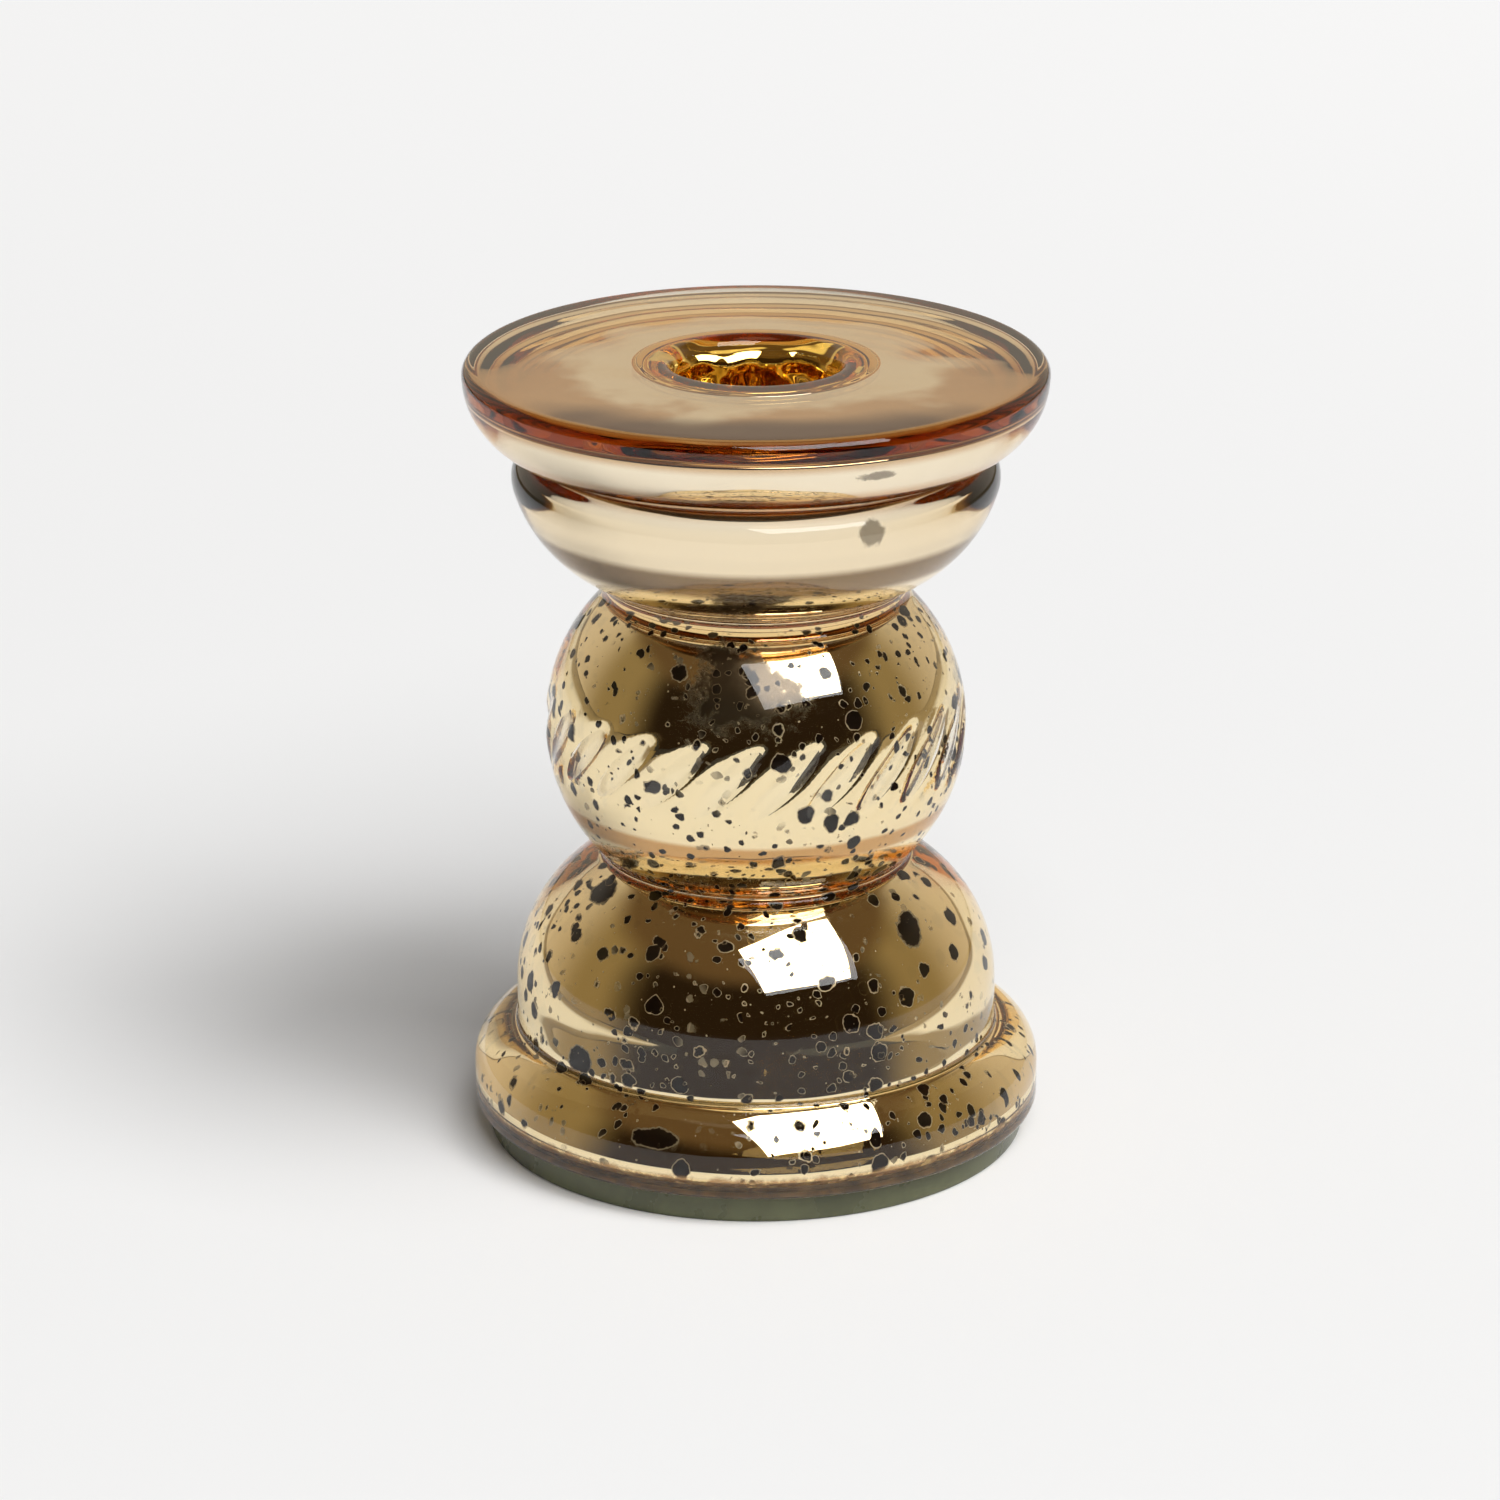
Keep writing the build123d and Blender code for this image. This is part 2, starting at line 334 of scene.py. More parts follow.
def outer_outline(s):
    """Outside of the glass: ground edge, foot, dome, ball, bowl, rim, plate and well."""
    side_top = SEAT + s.foot_side
    foot_top = side_top + s.foot_round
    spring = foot_top + s.dome_wall
    neck_low = spring + s.dome_rise
    middle = neck_low + s.ball_lower
    neck_high = middle + s.ball_upper
    lip = neck_high + s.bowl_rise
    fold = lip + s.fold_rise
    rim = fold + s.rim_flare
    floor = TOP - s.well_depth
    low, high = (s.lower_neck, neck_low), (s.upper_neck, neck_high)
    ball_start = arc_start(low, (s.ball_radius, middle), high)
    o = Outline((s.foot_radius - s.ground_edge, SEAT))
    o.line((s.foot_radius, SEAT), 3)
    o.line((s.foot_radius, side_top), 4)
    o.arc((s.dome_radius, foot_top), (0, 1), 14)
    o.line((s.dome_radius, spring), 6)
    o.arc(low, (0, 1), 26)
    o.arc(high, ball_start, 84)
    o.bulge((s.bowl_radius, lip), s.bowl_fullness, 24)
    o.line((s.fold_radius, fold), 4)
    o.bulge((RIM_RADIUS, rim), s.rim_fullness, 16)
    o.arc((RIM_RADIUS - s.rim_edge, TOP), (0, 1), 10)
    o.line((s.well_radius, TOP), 18)
    o.line((s.well_radius, floor), 14)
    o.line((0.0, floor), 10)
    o.round((s.foot_radius, SEAT), FOOT_EDGE_ROUND, 5)
    o.round((s.dome_radius, foot_top), CREASE_ROUND, 6)
    o.fillet(low, LOWER_NECK_ROUND, 8)
    o.fillet(high, UPPER_NECK_ROUND, 10)
    o.round((s.bowl_radius, lip), LIP_ROUND, 8)
    o.round((s.fold_radius, fold), FOLD_ROUND, 5)
    o.round((s.well_radius, TOP), WELL_MOUTH_ROUND, 8)
    o.round((s.well_radius, floor), WELL_FLOOR_ROUND, 7)
    return o.points


def arc_start(first, middle, last):
    """Leaving direction of the upward arc through three (radius, height) points."""
    (r0, z0), (r1, z1), (r2, z2) = first, middle, last
    d = 2 * (r0 * (z1 - z2) + r1 * (z2 - z0) + r2 * (z0 - z1))
    a, b, c = r0**2 + z0**2, r1**2 + z1**2, r2**2 + z2**2
    r = (a * (z1 - z2) + b * (z2 - z0) + c * (z0 - z1)) / d
    z = (a * (r2 - r1) + b * (r0 - r2) + c * (r1 - r0)) / d
    return z - z0, r0 - r


def hollow_outline(s):
    """Inside of the glass, from the ground edge up to the axis under the well."""
    foot_top = SEAT + s.foot_side + s.foot_round
    spring_z = foot_top + s.dome_wall
    neck_low = spring_z + s.dome_rise
    middle = neck_low + s.ball_lower
    neck_high = middle + s.ball_upper
    lip_z = neck_high + s.bowl_rise
    foot = (s.foot_radius - s.foot_wall, SEAT + s.ground_bevel)
    crease = (s.dome_radius - s.crease_wall, foot_top - s.crease_drop)
    spring = (s.dome_radius - s.dome_glass, spring_z + s.spring_lift)
    low = (s.lower_neck - s.low_wall, neck_low - s.low_drop)
    ball = (s.ball_radius - s.ball_wall, middle - s.ball_drop)
    high = (s.upper_neck - s.high_wall, neck_high + s.high_lift)
    lip = (s.bowl_radius - s.lip_wall, lip_z + s.lip_lift)
    fold = (s.fold_radius - s.fold_wall, lip_z + s.fold_rise + s.fold_lift)
    rim = (RIM_RADIUS - s.rim_wall, TOP - s.rim_drop)
    flat = (s.plate_flat, TOP - s.plate)
    tube = s.well_radius + s.well_wall
    tube_end = TOP - s.well_depth - s.well_floor
    ball_start = arc_start(low, ball, high)
    o = Outline((s.foot_radius - s.ground_edge, SEAT))
    o.line(foot, 5)
    o.arc(crease, (0, 1), 16)
    o.line(spring, 10)
    o.arc(low, (spring[0] - crease[0], spring[1] - crease[1]), 30)
    o.arc(high, ball_start, 84)
    o.bulge(lip, s.bowl_inside, 30)
    o.line(fold, 3)
    o.bulge(rim, s.flare_inside, 18)
    o.bulge(flat, PLATE_FULLNESS, 18)
    o.line((tube, TOP - s.plate), 12)
    o.line((tube, tube_end), 18)
    o.line((0.0, tube_end), 10)
    o.round(foot, INNER_FOOT_ROUND, 4)
    o.round(crease, INNER_CREASE_ROUND, 5)
    o.fillet(low, INNER_LOWER_ROUND, 12)
    o.fillet(high, INNER_UPPER_ROUND, 14)
    o.round(lip, INNER_LIP_ROUND, 7)
    o.round(fold, INNER_FOLD_ROUND, 6)
    o.round(rim, INNER_RIM_ROUND, 6)
    o.round(flat, PLATE_BEND_ROUND, 6)
    o.round((tube, TOP - s.plate), TUBE_ROUND, 7)
    o.round((tube, tube_end), TUBE_ROUND, 7)
    return o.points


def thinned(points, step):
    """Every few points of an outline, with both of its ends."""
    return points[:-1:step] + [points[-1]]


def turn(name, points, columns):
    """A closed piece, turned about the height axis from an outline that starts and ends the piece."""
    bpy.ops.object.select_all(action="DESELECT")
    start = points[0]
    bpy.ops.mesh.primitive_plane_add(size=MM, location=(start[0], 0.0, start[1]), enter_editmode=True)
    bpy.ops.mesh.merge(type="CENTER")
    for here, there in zip(points, points[1:]):
        step = (there[0] - here[0], 0.0, there[1] - here[1])
        bpy.ops.mesh.extrude_vertices_move(TRANSFORM_OT_translate={"value": step})
    bpy.ops.object.mode_set(mode="OBJECT")
    bpy.ops.object.transform_apply(location=True, rotation=True, scale=True)
    bpy.ops.object.modifier_add(type="SCREW")
    lathe = bpy.context.active_object.modifiers[-1]
    lathe.axis = "Z"
    lathe.angle = 2 * pi
    lathe.steps = columns
    lathe.render_steps = columns
    bpy.ops.object.modifier_apply(modifier=lathe.name)
    bpy.ops.object.mode_set(mode="EDIT")
    bpy.ops.mesh.select_all(action="SELECT")
    bpy.ops.mesh.remove_doubles(threshold=0.002 * MM)
    bpy.ops.mesh.normals_make_consistent(inside=False)
    bpy.ops.object.mode_set(mode="OBJECT")
    piece = bpy.context.active_object
    piece.name = name
    piece.data.name = name
    return piece


def press_flutes(piece, s, inset, softness):
    """Slanting flutes pressed into the ball of a turned piece, as deep as the tube of a round cutter."""
    middle = SEAT + s.foot_side + s.foot_round + s.dome_wall + s.dome_rise + s.ball_lower
    count = len(piece.data.vertices)
    places = np.zeros(count * 3)
    piece.data.vertices.foreach_get("co", places)
    places = places.reshape(-1, 3)
    radius = np.hypot(places[:, 0], places[:, 1])
    azimuth = np.arctan2(places[:, 1], places[:, 0])
    height = places[:, 2] - middle
    surface = s.ball_radius - inset
    belt = (np.abs(height) < 16 * MM) & (radius > surface - 4 * MM)
    reach = surface - s.flute_depth + s.flute_round
    pitch = 2 * pi / s.flutes
    pressed = np.zeros(count)
    for shift in (-1, 0, 1):
        nearest = np.round(azimuth / pitch) * pitch + shift * pitch
        across = radius * np.sin(azimuth - nearest)
        outward = radius * np.cos(azimuth - nearest)
        along = across * cos(s.flute_slant) + height * sin(s.flute_slant)
        beside = height * cos(s.flute_slant) - across * sin(s.flute_slant)
        path = reach - s.flute_path + np.sqrt(np.maximum(s.flute_path**2 - along**2, 0.0))
        tube = np.sqrt(np.maximum(s.flute_round**2 - beside**2, 0.0))
        bite = np.where(np.abs(beside) < s.flute_round, outward - (path - tube), -1.0)
        soft = 0.5 * (bite + np.sqrt(bite**2 + softness**2))
        pressed = np.maximum(pressed, np.where(bite > -1.0 * MM, soft, 0.0))
    pressed = np.where(belt, pressed, 0.0)
    scale = np.where(radius > 0, (radius - pressed) / np.maximum(radius, 1e-9), 1.0)
    places[:, 0] *= scale
    places[:, 1] *= scale
    piece.data.vertices.foreach_set("co", places.ravel())
    piece.data.update()


def ripple(piece, grain, strength):
    """Slight unevenness of hand-blown glass."""
    cloud = bpy.data.textures.new(piece.name + "_ripple", "CLOUDS")
    cloud.noise_scale = grain
    cloud.noise_depth = 1
    bpy.ops.object.select_all(action="DESELECT")
    piece.select_set(True)
    bpy.context.view_layer.objects.active = piece
    bpy.ops.object.modifier_add(type="DISPLACE")
    wave = piece.modifiers[-1]
    wave.texture = cloud
    wave.texture_coords = "LOCAL"
    wave.mid_level = 0.0
    wave.strength = strength
    bpy.ops.object.modifier_apply(modifier=wave.name)


def smooth(piece, angle):
    """Smooth shading with creases kept past an angle."""
    bpy.ops.object.select_all(action="DESELECT")
    piece.select_set(True)
    bpy.context.view_layer.objects.active = piece
    bpy.ops.object.shade_smooth_by_angle(angle=angle)


def node(tree, kind, inputs=None, **settings):
    """A node with its settings, and its inputs set or linked."""
    made = tree.nodes.new(kind)
    for key, value in settings.items():
        setattr(made, key, value)
    for key, value in (inputs or {}).items():
        if isinstance(value, bpy.types.NodeSocket):
            tree.links.new(value, made.inputs[key])
        else:
            made.inputs[key].default_value = value
    return made


def maths(tree, operation, first, second=0.0, clamp=False):
    """The result of one Math node."""
    made = node(tree, "ShaderNodeMath", {0: first, 1: second}, operation=operation, use_clamp=clamp)
    return made.outputs[0]


def vector(tree, operation, inputs):
    """One Vector Math node."""
    return node(tree, "ShaderNodeVectorMath", inputs, operation=operation)


def ramp(tree, value, low, high, start=0.0, end=1.0):
    """A smooth step of a value between two levels."""
    made = node(
        tree,
        "ShaderNodeMapRange",
        {"Value": value, "From Min": low, "From Max": high, "To Min": start, "To Max": end},
        interpolation_type="SMOOTHSTEP",
    )
    return made.outputs["Result"]


def blend(tree, share, first, second):
    """One colour or the other, by a share."""
    made = node(tree, "ShaderNodeMix", {"Factor": share}, data_type="RGBA")
    for socket, value in zip((made.inputs[6], made.inputs[7]), (first, second)):
        if isinstance(value, bpy.types.NodeSocket):
            tree.links.new(value, socket)
        else:
            socket.default_value = (*value, 1.0)
    return made.outputs[2]


def noise(tree, place, scale, detail=2.0, roughness=0.5):
    """A noise pattern from 0 to 1."""
    inputs = {"Vector": place, "Scale": scale, "Detail": detail, "Roughness": roughness}
    return node(tree, "ShaderNodeTexNoise", inputs)


def cells(tree, place, scale, feature="F1"):
    """A cell pattern."""
    return node(tree, "ShaderNodeTexVoronoi", {"Vector": place, "Scale": scale}, feature=feature)


def new_material(name):
    """An empty material with its output and shader."""
    made = bpy.data.materials.new(name)
    made.use_nodes = True
    tree = made.node_tree
    tree.nodes.clear()
    shader = node(tree, "ShaderNodeBsdfPrincipled")
    output = node(tree, "ShaderNodeOutputMaterial", {"Surface": shader.outputs[0]})
    return made, tree, shader, output


def object_place(tree):
    """Object coordinates, in metres."""
    return node(tree, "ShaderNodeTexCoord").outputs["Object"]


def shaken(tree, place, scale, reach):
    """Coordinates shaken by noise, so that round spots turn ragged."""
    shake = noise(tree, place, scale, 3.0, 0.55)
    centred = vector(tree, "SUBTRACT", {0: shake.outputs["Color"], 1: (0.5, 0.5, 0.5)}).outputs[0]
    scaled = vector(tree, "SCALE", {0: centred, "Scale": reach}).outputs[0]
    return vector(tree, "ADD", {0: place, 1: scaled}).outputs[0]


def spots(tree, place, scale, least, most, keep):
    """Bare spots at scattered cell centres: their mask, and the thin dusty ring round them."""
    pattern = cells(tree, place, scale)
    draw = node(tree, "ShaderNodeSeparateColor", {0: pattern.outputs["Color"]}).outputs[0]
    size = ramp(tree, draw, keep, 1.0, least, most)
    present = maths(tree, "GREATER_THAN", draw, keep)
    gap = maths(tree, "SUBTRACT", pattern.outputs["Distance"], size)
    inside = maths(tree, "MULTIPLY", ramp(tree, gap, 0.015, -0.015), present)
    ring = maths(tree, "MULTIPLY", ramp(tree, gap, 0.05, 0.025), present)
    return inside, maths(tree, "SUBTRACT", ring, inside, True)


def worn_patch(tree, place, ragged, centre, reach):
    """A worn patch round one place of the holder, given in millimetres, with a ragged edge."""
    away = vector(tree, "SUBTRACT", {0: place, 1: tuple(c * MM for c in centre)}).outputs[0]
    scaled = vector(tree, "MULTIPLY", {0: away, 1: tuple(1.0 / (r * MM) for r in reach)}).outputs[0]
    far = vector(tree, "LENGTH", {0: scaled}).outputs["Value"]
    return ramp(tree, maths(tree, "ADD", far, ragged), 1.55, 1.3)


def painted_band(tree, height, middle, half):
    """A painted reflection band in the silvering's colour, soft above and below."""
    away = maths(tree, "ABSOLUTE", maths(tree, "SUBTRACT", height, middle))
    return ramp(tree, away, half, half * 0.45, 0.0, 0.88)


def axis_distance(tree, across, depth):
    """Distance from the holder's axis."""
    across_squared = maths(tree, "MULTIPLY", across, across)
    depth_squared = maths(tree, "MULTIPLY", depth, depth)
    return maths(tree, "SQRT", maths(tree, "ADD", across_squared, depth_squared))


def painted_plate_reflection(tree, place, across, depth, height):
    """Painted brown reflection on the plate, towards its rim at the front and the sides."""
    radius = axis_distance(tree, across, depth)
    cloud = maths(tree, "MULTIPLY", noise(tree, place, 60.0, 3.0, 0.55).outputs[0], 0.045)
    share = ramp(tree, maths(tree, "ADD", radius, cloud), 0.045, 0.055)
    share = maths(tree, "MULTIPLY", share, ramp(tree, depth, 0.014, -0.006))
    return maths(tree, "MULTIPLY", share, ramp(tree, height, 0.1125, 0.114, 0.0, 0.7))


# Places in the silvering, each with its reach, in millimetres.
WORN_PATCHES = (
    ((-21.5, -11.1, 39.0), (2.6, 2.6, 2.4)),
    ((-24.8, -22.9, 18.5), (2.8, 2.8, 2.2)),
    ((-14.8, -37.0, 11.5), (4.2, 3.0, 1.3)),
    ((-14.5, -19.0, 82.8), (4.2, 3.0, 1.6)),
    ((21.5, -17.0, 35.5), (2.0, 3.0, 3.4)),
)

BLEMISHES = (
    ((15.3, -27.5, 101.0), (3.2, 4.0, 2.6)),
    ((16.3, -35.5, 112.0), (4.5, 4.0, 1.1)),
)

BALL_FRONT = ((-1.5, -27.0, 78.0), (17.0, 11.0, 12.0))

# Middle heights of the painted reflection bands, with half of their widths.
OLIVE_REFLECTION_BAND = (93.9 * MM, 2.6 * MM)
BROWN_REFLECTION_BANDS = ((51.9 * MM, 1.8 * MM), (106.4 * MM, 3.8 * MM))

AMBER_DENSITY = 62.0
GLASS_INDEX = 1.5


def gold_mirror(finish):
    """Gold silvering with bare spots, dusty rings, worn patches and a brown lower edge, with painted
    reflections: paler cream above, deeper gold in the well, dark and brown bands and brown on the plate.
    """
    made, tree, shader = new_material("gold_mirror")[:3]
    place = object_place(tree)
    across, depth, height = node(tree, "ShaderNodeSeparateXYZ", {0: place}).outputs[:3]
    worn_zone = ramp(tree, height, 0.0865, 0.0815)
    ragged = shaken(tree, place, 420.0, 0.0017)
    crowd = noise(tree, place, 42.0, 2.0).outputs[0]
    grain = noise(tree, place, 420.0, 5.0, 0.65).outputs[0]
    big, big_ring = spots(tree, ragged, 285.0, 0.06, 0.38, 0.4)
    small, small_ring = spots(tree, ragged, 560.0, 0.08, 0.36, 0.12)
    thick = ramp(tree, crowd, 0.38, 0.5)
    small = maths(tree, "MULTIPLY", small, thick)
    small_ring = maths(tree, "MULTIPLY", small_ring, thick)
    fleck = spots(tree, place, 1300.0, 0.05, 0.2, 0.84)[0]
    bare = maths(tree, "MAXIMUM", big, small)
    for centre, reach in WORN_PATCHES:
        bare = maths(tree, "MAXIMUM", bare, worn_patch(tree, place, grain, centre, reach))
    mottle = noise(tree, ragged, 170.0, 6.0, 0.7).outputs[0]
    front = worn_patch(tree, place, maths(tree, "MULTIPLY", mottle, 1.7), *BALL_FRONT)
    tarnish = maths(tree, "MAXIMUM", ramp(tree, mottle, 0.66, 0.72), maths(tree, "MULTIPLY", front, 0.93))
    crack_zone = ramp(tree, noise(tree, place, 33.0, 2.0).outputs[0], 0.63, 0.66)
    crack = cells(tree, shaken(tree, place, 150.0, 0.004), 75.0, "DISTANCE_TO_EDGE").outputs["Distance"]
    crack = maths(tree, "MULTIPLY", ramp(tree, crack, 0.014, 0.007), crack_zone)
    bare = maths(tree, "MULTIPLY", maths(tree, "MAXIMUM", bare, crack), worn_zone)
    dust = maths(tree, "MAXIMUM", maths(tree, "MAXIMUM", big_ring, small_ring), fleck)
    dust = maths(tree, "MULTIPLY", dust, worn_zone)
    tarnish = maths(tree, "MULTIPLY", tarnish, worn_zone)
    for centre, reach in BLEMISHES:
        smear = worn_patch(tree, place, maths(tree, "MULTIPLY", mottle, 1.6), centre, reach)
        tarnish = maths(tree, "MAXIMUM", tarnish, maths(tree, "MULTIPLY", smear, 0.6))
    edge_height = maths(tree, "ADD", height, maths(tree, "MULTIPLY", grain, 0.002))
    edge = ramp(tree, edge_height, 0.0084, 0.0074)
    near_axis = ramp(tree, axis_distance(tree, across, depth), 0.018, 0.0155)
    well = maths(tree, "MULTIPLY", near_axis, ramp(tree, height, 0.088, 0.09))
    # Painted: paler cream above, for the brighter reflections of the bowl and the plate; gold below.
    shade = blend(tree, worn_zone, tuple(finish.cream), tuple(finish.gold))
    # Painted reflection: deeper gold round the candle well, for light bounced between its mirror walls.
    shade = blend(tree, well, shade, tuple(finish.well))
    # Painted reflection: a dark olive band round the bowl.
    shade = blend(tree, painted_band(tree, height, *OLIVE_REFLECTION_BAND), shade, tuple(finish.olive_reflection))
    # Painted reflection: brown bands on the lower ball and at the fold.
    for middle, half in BROWN_REFLECTION_BANDS:
        shade = blend(tree, painted_band(tree, height, middle, half), shade, tuple(finish.painted_reflection))
    # Painted reflection: brown at the front of the plate, towards its rim.
    shade = blend(tree, painted_plate_reflection(tree, place, across, depth, height), shade, tuple(finish.painted_reflection))
    shade = blend(tree, tarnish, shade, tuple(finish.tarnish))
    shade = blend(tree, bare, shade, tuple(finish.spot))
    shade = blend(tree, maths(tree, "MULTIPLY", dust, 0.55), shade, tuple(finish.halo))
    speck = ramp(tree, grain, 0.5, 0.62)
    lacquer = blend(tree, speck, tuple(finish.backing), tuple(min(1.0, c * 2.0) for c in finish.backing))
    shade = blend(tree, edge, shade, lacquer)
    dull = maths(tree, "MAXIMUM", bare, maths(tree, "MULTIPLY", edge, 0.35))
    dull = maths(tree, "MAXIMUM", dull, maths(tree, "MULTIPLY", dust, 0.6))
    dull = maths(tree, "MAXIMUM", dull, maths(tree, "MULTIPLY", tarnish, 0.4))
    wave = maths(tree, "MULTIPLY", noise(tree, place, 85.0, 1.0).outputs[0], well)
    bump = node(tree, "ShaderNodeBump", {"Height": wave, "Strength": 1.0, "Distance": 0.0045})
    tree.links.new(bump.outputs[0], shader.inputs["Normal"])
    shader.inputs["Specular IOR Level"].default_value = 0.05
    tree.links.new(shade, shader.inputs["Base Color"])
    tree.links.new(maths(tree, "SUBTRACT", 1.0, dull), shader.inputs["Metallic"])
    tree.links.new(ramp(tree, dull, 0.0, 1.0, 0.02, 0.5), shader.inputs["Roughness"])
    return made


def clear_glass(finish):
    """Blown glass, amber where it is thick, with faint ripples."""
    made, tree, shader, output = new_material("clear_glass")
    place = object_place(tree)
    shader.inputs["Base Color"].default_value = (1.0, 1.0, 1.0, 1.0)
    shader.inputs["Transmission Weight"].default_value = 1.0
    shader.inputs["IOR"].default_value = GLASS_INDEX
    shader.inputs["Roughness"].default_value = 0.0
    wave = noise(tree, place, 70.0, 2.0)
    bump = node(tree, "ShaderNodeBump", {"Height": wave.outputs[0], "Strength": 0.1, "Distance": 0.0005})
    tree.links.new(bump.outputs[0], shader.inputs["Normal"])
    tint = node(tree, "ShaderNodeVolumeAbsorption", {"Color": (*finish.amber, 1.0), "Density": AMBER_DENSITY})
    tree.links.new(tint.outputs[0], output.inputs["Volume"])
    return made


def green_glass(finish):
    """Cut float glass with a ground edge."""
    made, tree, shader = new_material("green_glass")[:3]
    place = object_place(tree)
    cloud = noise(tree, place, 90.0, 4.0, 0.6).outputs[0]
    pale = tuple(min(1.0, c * 1.5) for c in finish.green)
    shade = blend(tree, ramp(tree, cloud, 0.35, 0.7), tuple(finish.green), pale)
    tree.links.new(shade, shader.inputs["Base Color"])
    tree.links.new(ramp(tree, cloud, 0.3, 0.7, 0.2, 0.38), shader.inputs["Roughness"])
    return made


def glue(finish):
    """Brown glue, uneven along its edge."""
    made, tree, shader = new_material("glue")[:3]
    place = object_place(tree)
    cloud = noise(tree, place, 400.0, 4.0, 0.6).outputs[0]
    dark = tuple(c * 0.5 for c in finish.glue)
    shade = blend(tree, ramp(tree, cloud, 0.35, 0.65), dark, tuple(finish.glue))
    tree.links.new(shade, shader.inputs["Base Color"])
    tree.links.new(ramp(tree, cloud, 0.3, 0.7, 0.3, 0.6), shader.inputs["Roughness"])
    return made


def dress(piece, material):
    """One material on the whole piece."""
    piece.data.materials.clear()
    piece.data.materials.append(material)


def settle(piece, slot, *nodes):
    """The piece rides on the part's one body and stands for its solids."""
    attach(piece, "root")
    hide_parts(*nodes)


class HolderGlass(bpy.types.Operator):
    """Turn the glass body, press its flutes and dress it in clear glass"""

    bl_idname = "holder.glass_body"
    bl_label = "Glass body"

    def execute(self, context):
        sizes = context.scene.holder_sizes
        outside = outer_outline(sizes)
        inside = thinned(hollow_outline(sizes), 3)
        closed = outside[::-1] + inside[1:]
        columns = sizes.flutes * COLUMNS_PER_FLUTE
        piece = turn("blown_glass", closed, columns)
        press_flutes(piece, sizes, 0.0, GLASS_FLUTE_SOFTNESS)
        smooth(piece, radians(50.0))
        dress(piece, clear_glass(context.scene.holder_finish))
        settle(piece, "clear_glass", "glass_body")
        return {"FINISHED"}


class HolderMirror(bpy.types.Operator):
    """Turn the thin mirror lining and dress it in worn gold silvering"""

    bl_idname = "holder.mirror_lining"
    bl_label = "Mirror lining"

    def execute(self, context):
        sizes = context.scene.holder_sizes
        face = [p for p in hollow_outline(sizes) if p[1] > SEAT + sizes.lining_stop]
        front = offset_points(face, -LINING_SUNK)
        front[-1] = (0.0, front[-1][1])
        back = offset_points(thinned(face, 4), sizes.lining - LINING_SUNK)
        back[-1] = (0.0, back[-1][1])
        closed = front + back[::-1] + [front[0]]
        columns = sizes.flutes * COLUMNS_PER_FLUTE
        piece = turn("mirror_coat", closed, columns)
        press_flutes(piece, sizes, sizes.ball_wall - LINING_SUNK, LINING_FLUTE_SOFTNESS)
        ripple(piece, LINING_GRAIN, LINING_RIPPLE)
        smooth(piece, radians(50.0))
        dress(piece, gold_mirror(context.scene.holder_finish))
        settle(piece, "gold_mirror", "mirror_lining")
        return {"FINISHED"}


class HolderBase(bpy.types.Operator):
    """Turn the base disc and the glue line above it"""

    bl_idname = "holder.base"
    bl_label = "Base disc and glue"

    def execute(self, context):
        sizes = context.scene.holder_sizes
        finish = context.scene.holder_finish
        disc = Outline((0.0, 0.0)).line((DISC_RADIUS, 0.0), 6).line((DISC_RADIUS, DISC_TOP), 4)
        disc.line((0.0, DISC_TOP), 6)
        disc.round((DISC_RADIUS, 0.0), DISC_EDGE_ROUND, 4).round((DISC_RADIUS, DISC_TOP), DISC_EDGE_ROUND, 4)
        piece = turn("green_disc", disc.points, 256)
        smooth(piece, radians(35.0))
        dress(piece, green_glass(finish))
        settle(piece, "green_glass", "base_disc")
        inner = sizes.foot_radius - sizes.ground_edge
        outer = DISC_RADIUS - GLUE_INSET
        ring = Outline((inner, DISC_TOP)).line((outer, DISC_TOP)).line((outer, SEAT)).line((inner, SEAT))
        ring.line((inner, DISC_TOP))
        piece = turn("glue_line", ring.points, 192)
        smooth(piece, radians(35.0))
        dress(piece, glue(finish))
        settle(piece, "glue", "glue_ring")
        return {"FINISHED"}


# The room as the mirror sees it, and the light that only the paper and the picture take from it.
FRONT_WALL = (0.02, 0.012, 0.006)
SIDE_WALLS = (0.27, 0.205, 0.1)
REAR_WALL = (0.62, 0.54, 0.43)
CEILING = (0.12, 0.075, 0.035)
OVERHEAD = (1.0, 0.84, 0.52)
FILL = (0.12, 0.12, 0.12)
BACKDROP = (0.88, 0.88, 0.88)
BESIDE_PAPER = (0.3, 0.24, 0.14)
BEFORE_PAPER = (0.03, 0.03, 0.03)

# The camera's place and lens, in metres and degrees.
CAMERA_DISTANCE = 0.85
CAMERA_PITCH = 19.64
AIM_HEIGHT = 0.05817
LENS = 138.2
LENS_SHIFT = -0.004


def aim(thing, place, target):
    """Place a lamp or camera and point it at a target."""
    thing.location = place
    back = np.array(place) - np.array(target)
    flat = hypot(back[0], back[1])
    thing.rotation_euler = (atan2(flat, back[2]), 0.0, atan2(back[1], back[0]) + pi / 2)


def lamp(name, azimuth, elevation, distance, size, power):
    """A rectangular soft lamp, placed by angles from the front."""
    a, e = radians(azimuth), radians(elevation)
    target = (0.0, 0.0, 0.06)
    place = (
        distance * sin(a) * cos(e),
        -distance * cos(a) * cos(e),
        target[2] + distance * sin(e),
    )
    data = bpy.data.lights.new(name, "AREA")
    data.shape = "RECTANGLE"
    data.size, data.size_y = size
    data.energy = power
    made = bpy.data.objects.new(name, data)
    bpy.context.scene.collection.objects.link(made)
    aim(made, place, target)
    return made


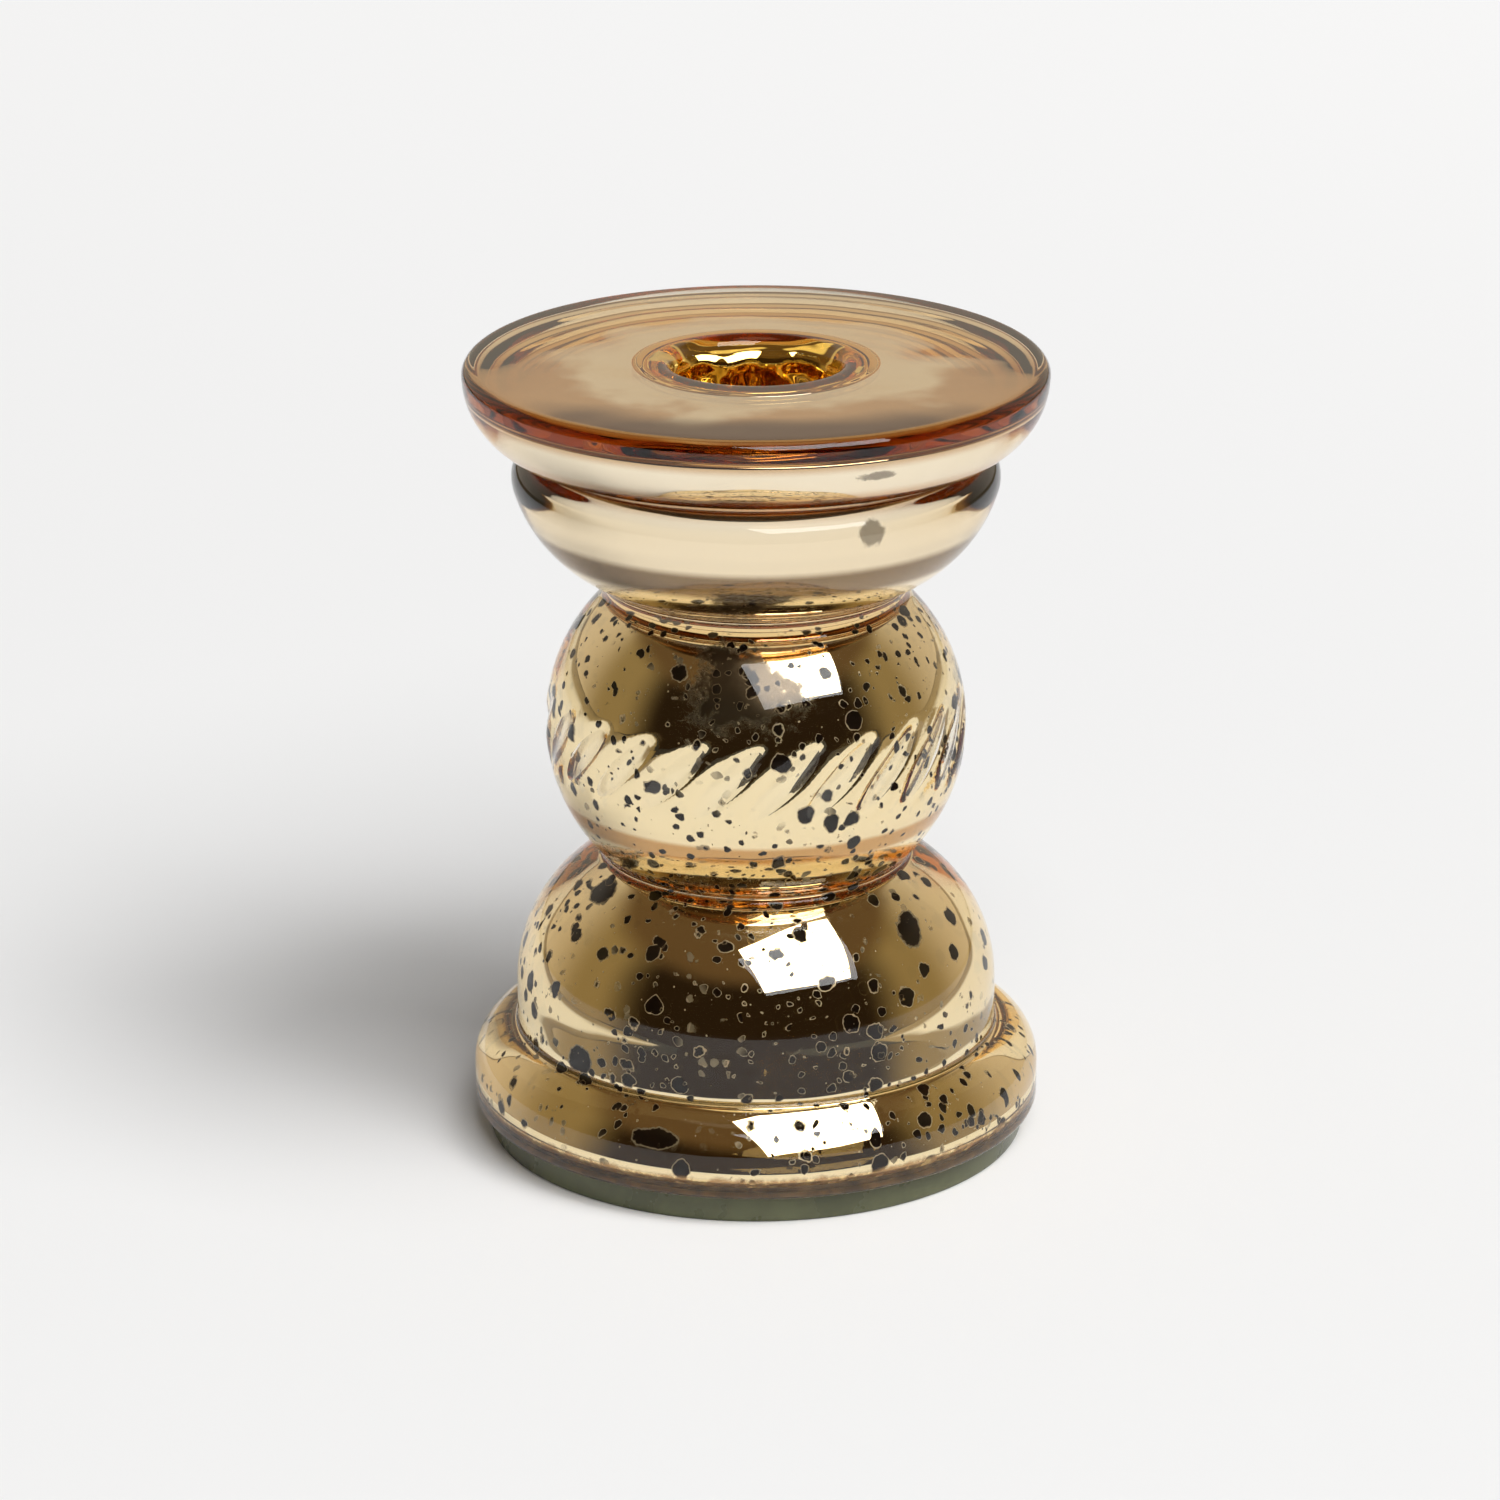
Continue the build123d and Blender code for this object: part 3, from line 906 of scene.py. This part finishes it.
class HolderStage(bpy.types.Operator):
    """Lay the pale floor, set the soft lamps and the camera"""

    bl_idname = "holder.stage"
    bl_label = "Stage"

    def execute(self, context):
        scene = context.scene
        scene.view_settings.view_transform = "Standard"
        scene.cycles.max_bounces = 32
        scene.cycles.glossy_bounces = 24
        scene.cycles.transmission_bounces = 24
        self.floor(scene.holder_finish)
        self.room(scene)
        lamp("softbox", 31.0, 50.0, 6.0, (5.0, 3.6), 320.0)
        side = lamp("side_lamp", 62.0, 58.0, 14.0, (6.5, 6.5), 760.0)
        side.visible_glossy = False
        side.visible_transmission = False
        self.camera(scene)
        return {"FINISHED"}

    def floor(self, finish):
        """Pale paper, with the darker room beyond its front and its sides."""
        bpy.ops.object.select_all(action="DESELECT")
        bpy.ops.mesh.primitive_plane_add(size=12.0)
        sheet = bpy.context.active_object
        sheet.name = "floor_sheet"
        made, tree, shader = new_material("floor_paper")[:3]
        place = object_place(tree)
        parts = node(tree, "ShaderNodeSeparateXYZ", {0: place})
        depth = parts.outputs[1]
        across = maths(tree, "ABSOLUTE", parts.outputs[0])
        seen = node(tree, "ShaderNodeLightPath").outputs["Is Camera Ray"]
        paper = tuple(finish.floor)
        shade = blend(tree, ramp(tree, across, 0.9, 0.5), BESIDE_PAPER, paper)
        shade = blend(tree, ramp(tree, depth, -0.66, -0.6), BEFORE_PAPER, shade)
        shade = blend(tree, seen, shade, paper)
        tree.links.new(shade, shader.inputs["Base Color"])
        lift = maths(tree, "MULTIPLY", ramp(tree, depth, -0.1, 1.1, 0.0, 0.16), seen)
        shader.inputs["Emission Color"].default_value = (1.0, 1.0, 1.0, 1.0)
        tree.links.new(lift, shader.inputs["Emission Strength"])
        shader.inputs["Roughness"].default_value = 0.9
        shader.inputs["Specular IOR Level"].default_value = 0.1
        dress(sheet, made)

    def room(self, scene):
        """Dark behind the camera, pale at the back, with an even fill for the paper."""
        world = bpy.data.worlds.new("studio")
        world.use_nodes = True
        scene.world = world
        tree = world.node_tree
        tree.nodes.clear()
        way = node(tree, "ShaderNodeTexCoord").outputs["Generated"]
        parts = node(tree, "ShaderNodeSeparateXYZ", {0: way})
        flat = node(tree, "ShaderNodeCombineXYZ", {0: parts.outputs[0], 1: parts.outputs[1]})
        level = vector(tree, "NORMALIZE", {0: flat.outputs[0]}).outputs[0]
        front = vector(tree, "DOT_PRODUCT", {0: level, 1: (0.0, -1.0, 0.0)}).outputs["Value"]
        side = ramp(tree, front, 0.56, 0.05)
        rear = ramp(tree, front, -0.1, -0.8)
        walls = blend(tree, side, FRONT_WALL, SIDE_WALLS)
        walls = blend(tree, rear, walls, REAR_WALL)
        walls = blend(tree, ramp(tree, parts.outputs[2], 0.5, 0.68), walls, CEILING)
        walls = blend(tree, ramp(tree, parts.outputs[2], 0.955, 0.985), walls, OVERHEAD)
        path = node(tree, "ShaderNodeLightPath")
        walls = blend(tree, path.outputs["Is Diffuse Ray"], walls, FILL)
        walls = blend(tree, path.outputs["Is Camera Ray"], walls, BACKDROP)
        ground = node(tree, "ShaderNodeBackground", {"Color": walls, "Strength": 1.0})
        node(tree, "ShaderNodeOutputWorld", {"Surface": ground.outputs[0]})

    def camera(self, scene):
        """The photograph's view, from a little above the rim."""
        data = bpy.data.cameras.new("view")
        data.lens = LENS
        data.sensor_width = 36.0
        data.shift_x = LENS_SHIFT
        data.clip_start = 0.05
        made = bpy.data.objects.new("view", data)
        scene.collection.objects.link(made)
        pitch = radians(CAMERA_PITCH)
        target = (0.0, 0.0, AIM_HEIGHT)
        place = (0.0, -CAMERA_DISTANCE * cos(pitch), AIM_HEIGHT + CAMERA_DISTANCE * sin(pitch))
        aim(made, place, target)
        scene.camera = made


class HolderPanel(bpy.types.Panel):
    """Sidebar panel with the holder's sizes, finishes and steps"""

    bl_idname = "VIEW3D_PT_holder"
    bl_label = "Candle holder"
    bl_space_type = "VIEW_3D"
    bl_region_type = "UI"
    bl_category = "Candle holder"

    def draw(self, context):
        layout = self.layout
        for step in STEPS:
            layout.operator(step.bl_idname)
        for group in (context.scene.holder_sizes, context.scene.holder_finish):
            box = layout.box()
            for name in group.__annotations__:
                box.prop(group, name)


STEPS = (HolderGlass, HolderMirror, HolderBase, HolderStage)
CLASSES = (HolderSizes, HolderFinish, *STEPS, HolderPanel)


def register():
    """Add the classes and the scene's settings."""
    for made in CLASSES:
        bpy.utils.register_class(made)
    bpy.types.Scene.holder_sizes = bpy.props.PointerProperty(type=HolderSizes)
    bpy.types.Scene.holder_finish = bpy.props.PointerProperty(type=HolderFinish)


def unregister():
    """Remove what register added."""
    del bpy.types.Scene.holder_finish
    del bpy.types.Scene.holder_sizes
    for made in reversed(CLASSES):
        bpy.utils.unregister_class(made)


def main():
    """Build the pieces in order."""
    register()
    bpy.ops.holder.glass_body()
    bpy.ops.holder.mirror_lining()
    bpy.ops.holder.base()
    bpy.ops.holder.stage()


if __name__ == "__main__":
    main()
